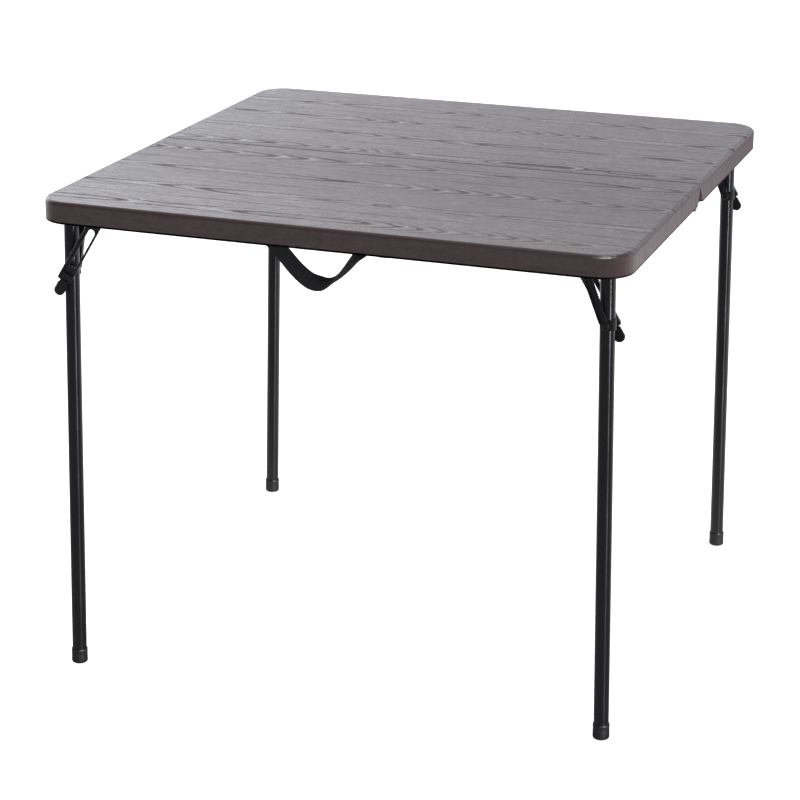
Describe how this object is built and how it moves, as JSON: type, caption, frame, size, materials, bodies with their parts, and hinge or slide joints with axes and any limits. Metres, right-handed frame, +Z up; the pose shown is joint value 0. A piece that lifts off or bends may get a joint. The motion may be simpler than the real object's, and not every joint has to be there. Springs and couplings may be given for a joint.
{
  "type": "folding card table",
  "caption": "Square folding card table: a two-part moulded top hinged across the middle, tubular legs that fold under it with slotted lock plates, and a carry strap.",
  "frame": {"origin": "on the floor, under the centre of the open table top", "axes": "+X to the right along the seam between the halves, +Y from front to back, +Z up"},
  "size_m": [0.88, 0.88, 0.74],
  "materials": {
    "moulded_top": "moulded polyethylene with a raised wood-grain relief",
    "leg_paint": "satin black powder coat on steel tube",
    "dark_steel": "satin black powder coat on steel strip",
    "lock_paint": "black painted pressed sheet, worn bright along its edges",
    "bright_steel": "zinc plated rivets, pins, screws and wire",
    "black_plastic": "black moulded plastic",
    "webbing": "black woven webbing"
  },
  "bodies": {
    "front_top": {"front_panel": "moulded_top", "fold_hinge_front_leaves": "lock_paint", "fold_hinge_pins": "bright_steel", "carry_strap": "webbing", "strap_end_plates": "lock_paint", "closing_catch": "moulded_top", "front_screws": "bright_steel", "front_bracket_pins": "bright_steel", "front_left_hinge_bracket": "leg_paint", "front_right_hinge_bracket": "leg_paint"},
    "back_top": {"back_panel": "moulded_top", "fold_hinge_back_leaves": "lock_paint", "back_screws": "bright_steel", "back_bracket_pins": "bright_steel", "back_left_hinge_bracket": "leg_paint", "back_right_hinge_bracket": "leg_paint"},
    "front_left_leg": {"front_left_leg_tube": "leg_paint", "front_left_foot_cap": "black_plastic", "front_left_leg_saddle": "dark_steel", "front_left_leg_rivet": "dark_steel"},
    "front_left_lock": {"front_left_lock_plate": "lock_paint", "front_left_lever_pin": "bright_steel", "front_left_lever_spring": "bright_steel"},
    "front_left_lever": {"front_left_lock_lever": "lock_paint", "front_left_lever_grip": "black_plastic"},
    "front_left_arm": {"front_left_brace_arm": "lock_paint", "front_left_arm_pin": "bright_steel"},
    "back_left_leg": {"back_left_leg_tube": "leg_paint", "back_left_foot_cap": "black_plastic", "back_left_leg_saddle": "dark_steel", "back_left_leg_rivet": "dark_steel"},
    "back_left_lock": {"back_left_lock_plate": "lock_paint", "back_left_lever_pin": "bright_steel", "back_left_lever_spring": "bright_steel"},
    "back_left_lever": {"back_left_lock_lever": "lock_paint", "back_left_lever_grip": "black_plastic"},
    "back_left_arm": {"back_left_brace_arm": "lock_paint", "back_left_arm_pin": "bright_steel"},
    "front_right_leg": {"front_right_leg_tube": "leg_paint", "front_right_foot_cap": "black_plastic", "front_right_leg_saddle": "dark_steel", "front_right_leg_rivet": "dark_steel"},
    "front_right_lock": {"front_right_lock_plate": "lock_paint", "front_right_lever_pin": "bright_steel", "front_right_lever_spring": "bright_steel"},
    "front_right_lever": {"front_right_lock_lever": "lock_paint", "front_right_lever_grip": "black_plastic"},
    "front_right_arm": {"front_right_brace_arm": "lock_paint", "front_right_arm_pin": "bright_steel"},
    "back_right_leg": {"back_right_leg_tube": "leg_paint", "back_right_foot_cap": "black_plastic", "back_right_leg_saddle": "dark_steel", "back_right_leg_rivet": "dark_steel"},
    "back_right_lock": {"back_right_lock_plate": "lock_paint", "back_right_lever_pin": "bright_steel", "back_right_lever_spring": "bright_steel"},
    "back_right_lever": {"back_right_lock_lever": "lock_paint", "back_right_lever_grip": "black_plastic"},
    "back_right_arm": {"back_right_brace_arm": "lock_paint", "back_right_arm_pin": "bright_steel"}
  },
  "joints": [
    {"name": "top_fold", "type": "hinge", "parent": "front_top", "child": "back_top", "pos_m": [0, 0, 0.701], "axis": [-1, 0, 0], "range_deg": [0, 50]},
    {"name": "front_left_leg_fold", "type": "hinge", "parent": "front_top", "child": "front_left_leg", "pos_m": [-0.397, -0.406, 0.714], "axis": [0, -1, 0], "range_deg": [0, 91]},
    {"name": "front_left_lock_swing", "type": "hinge", "parent": "front_top", "child": "front_left_lock", "pos_m": [-0.3455, -0.406, 0.714], "axis": [0, -1, 0], "range_deg": [0, 121.24]},
    {"name": "front_left_arm_swing", "type": "hinge", "parent": "front_left_leg", "child": "front_left_arm", "pos_m": [-0.39862, -0.406, 0.62501], "axis": [0, -1, 0], "range_deg": [0, 12.2]},
    {"name": "front_left_lever_press", "type": "hinge", "parent": "front_left_lock", "child": "front_left_lever", "pos_m": [-0.39862, -0.406, 0.62501], "axis": [0, 1, 0], "range_deg": [0, 12], "stiffness_Nm_per_rad": 0.1},
    {"name": "back_left_leg_fold", "type": "hinge", "parent": "back_top", "child": "back_left_leg", "pos_m": [-0.397, 0.367, 0.714], "axis": [0, -1, 0], "range_deg": [0, 91]},
    {"name": "back_left_lock_swing", "type": "hinge", "parent": "back_top", "child": "back_left_lock", "pos_m": [-0.3455, 0.367, 0.714], "axis": [0, -1, 0], "range_deg": [0, 121.24]},
    {"name": "back_left_arm_swing", "type": "hinge", "parent": "back_left_leg", "child": "back_left_arm", "pos_m": [-0.39862, 0.367, 0.62501], "axis": [0, -1, 0], "range_deg": [0, 25.6]},
    {"name": "back_left_lever_press", "type": "hinge", "parent": "back_left_lock", "child": "back_left_lever", "pos_m": [-0.39862, 0.367, 0.62501], "axis": [0, 1, 0], "range_deg": [0, 12], "stiffness_Nm_per_rad": 0.1},
    {"name": "front_right_leg_fold", "type": "hinge", "parent": "front_top", "child": "front_right_leg", "pos_m": [0.397, -0.367, 0.714], "axis": [0, 1, 0], "range_deg": [0, 91]},
    {"name": "front_right_lock_swing", "type": "hinge", "parent": "front_top", "child": "front_right_lock", "pos_m": [0.3455, -0.367, 0.714], "axis": [0, 1, 0], "range_deg": [0, 121.24]},
    {"name": "front_right_arm_swing", "type": "hinge", "parent": "front_right_leg", "child": "front_right_arm", "pos_m": [0.39862, -0.367, 0.62501], "axis": [0, 1, 0], "range_deg": [0, 25.6]},
    {"name": "front_right_lever_press", "type": "hinge", "parent": "front_right_lock", "child": "front_right_lever", "pos_m": [0.39862, -0.367, 0.62501], "axis": [0, -1, 0], "range_deg": [0, 12], "stiffness_Nm_per_rad": 0.1},
    {"name": "back_right_leg_fold", "type": "hinge", "parent": "back_top", "child": "back_right_leg", "pos_m": [0.397, 0.406, 0.714], "axis": [0, 1, 0], "range_deg": [0, 91]},
    {"name": "back_right_lock_swing", "type": "hinge", "parent": "back_top", "child": "back_right_lock", "pos_m": [0.3455, 0.406, 0.714], "axis": [0, 1, 0], "range_deg": [0, 121.24]},
    {"name": "back_right_arm_swing", "type": "hinge", "parent": "back_right_leg", "child": "back_right_arm", "pos_m": [0.39862, 0.406, 0.62501], "axis": [0, 1, 0], "range_deg": [0, 25.6]},
    {"name": "back_right_lever_press", "type": "hinge", "parent": "back_right_lock", "child": "back_right_lever", "pos_m": [0.39862, 0.406, 0.62501], "axis": [0, -1, 0], "range_deg": [0, 12], "stiffness_Nm_per_rad": 0.1}
  ],
  "couplings": [
    {"joint": "front_left_lock_swing", "follows": "front_left_leg_fold", "ratio": 1.3268},
    {"joint": "front_left_arm_swing", "follows": "front_left_leg_fold", "ratio": 0.1286},
    {"joint": "back_left_lock_swing", "follows": "back_left_leg_fold", "ratio": 1.3268},
    {"joint": "back_left_arm_swing", "follows": "back_left_leg_fold", "ratio": 0.2758},
    {"joint": "front_right_lock_swing", "follows": "front_right_leg_fold", "ratio": 1.3268},
    {"joint": "front_right_arm_swing", "follows": "front_right_leg_fold", "ratio": 0.2758},
    {"joint": "back_right_lock_swing", "follows": "back_right_leg_fold", "ratio": 1.3268},
    {"joint": "back_right_arm_swing", "follows": "back_right_leg_fold", "ratio": 0.2758}
  ]
}
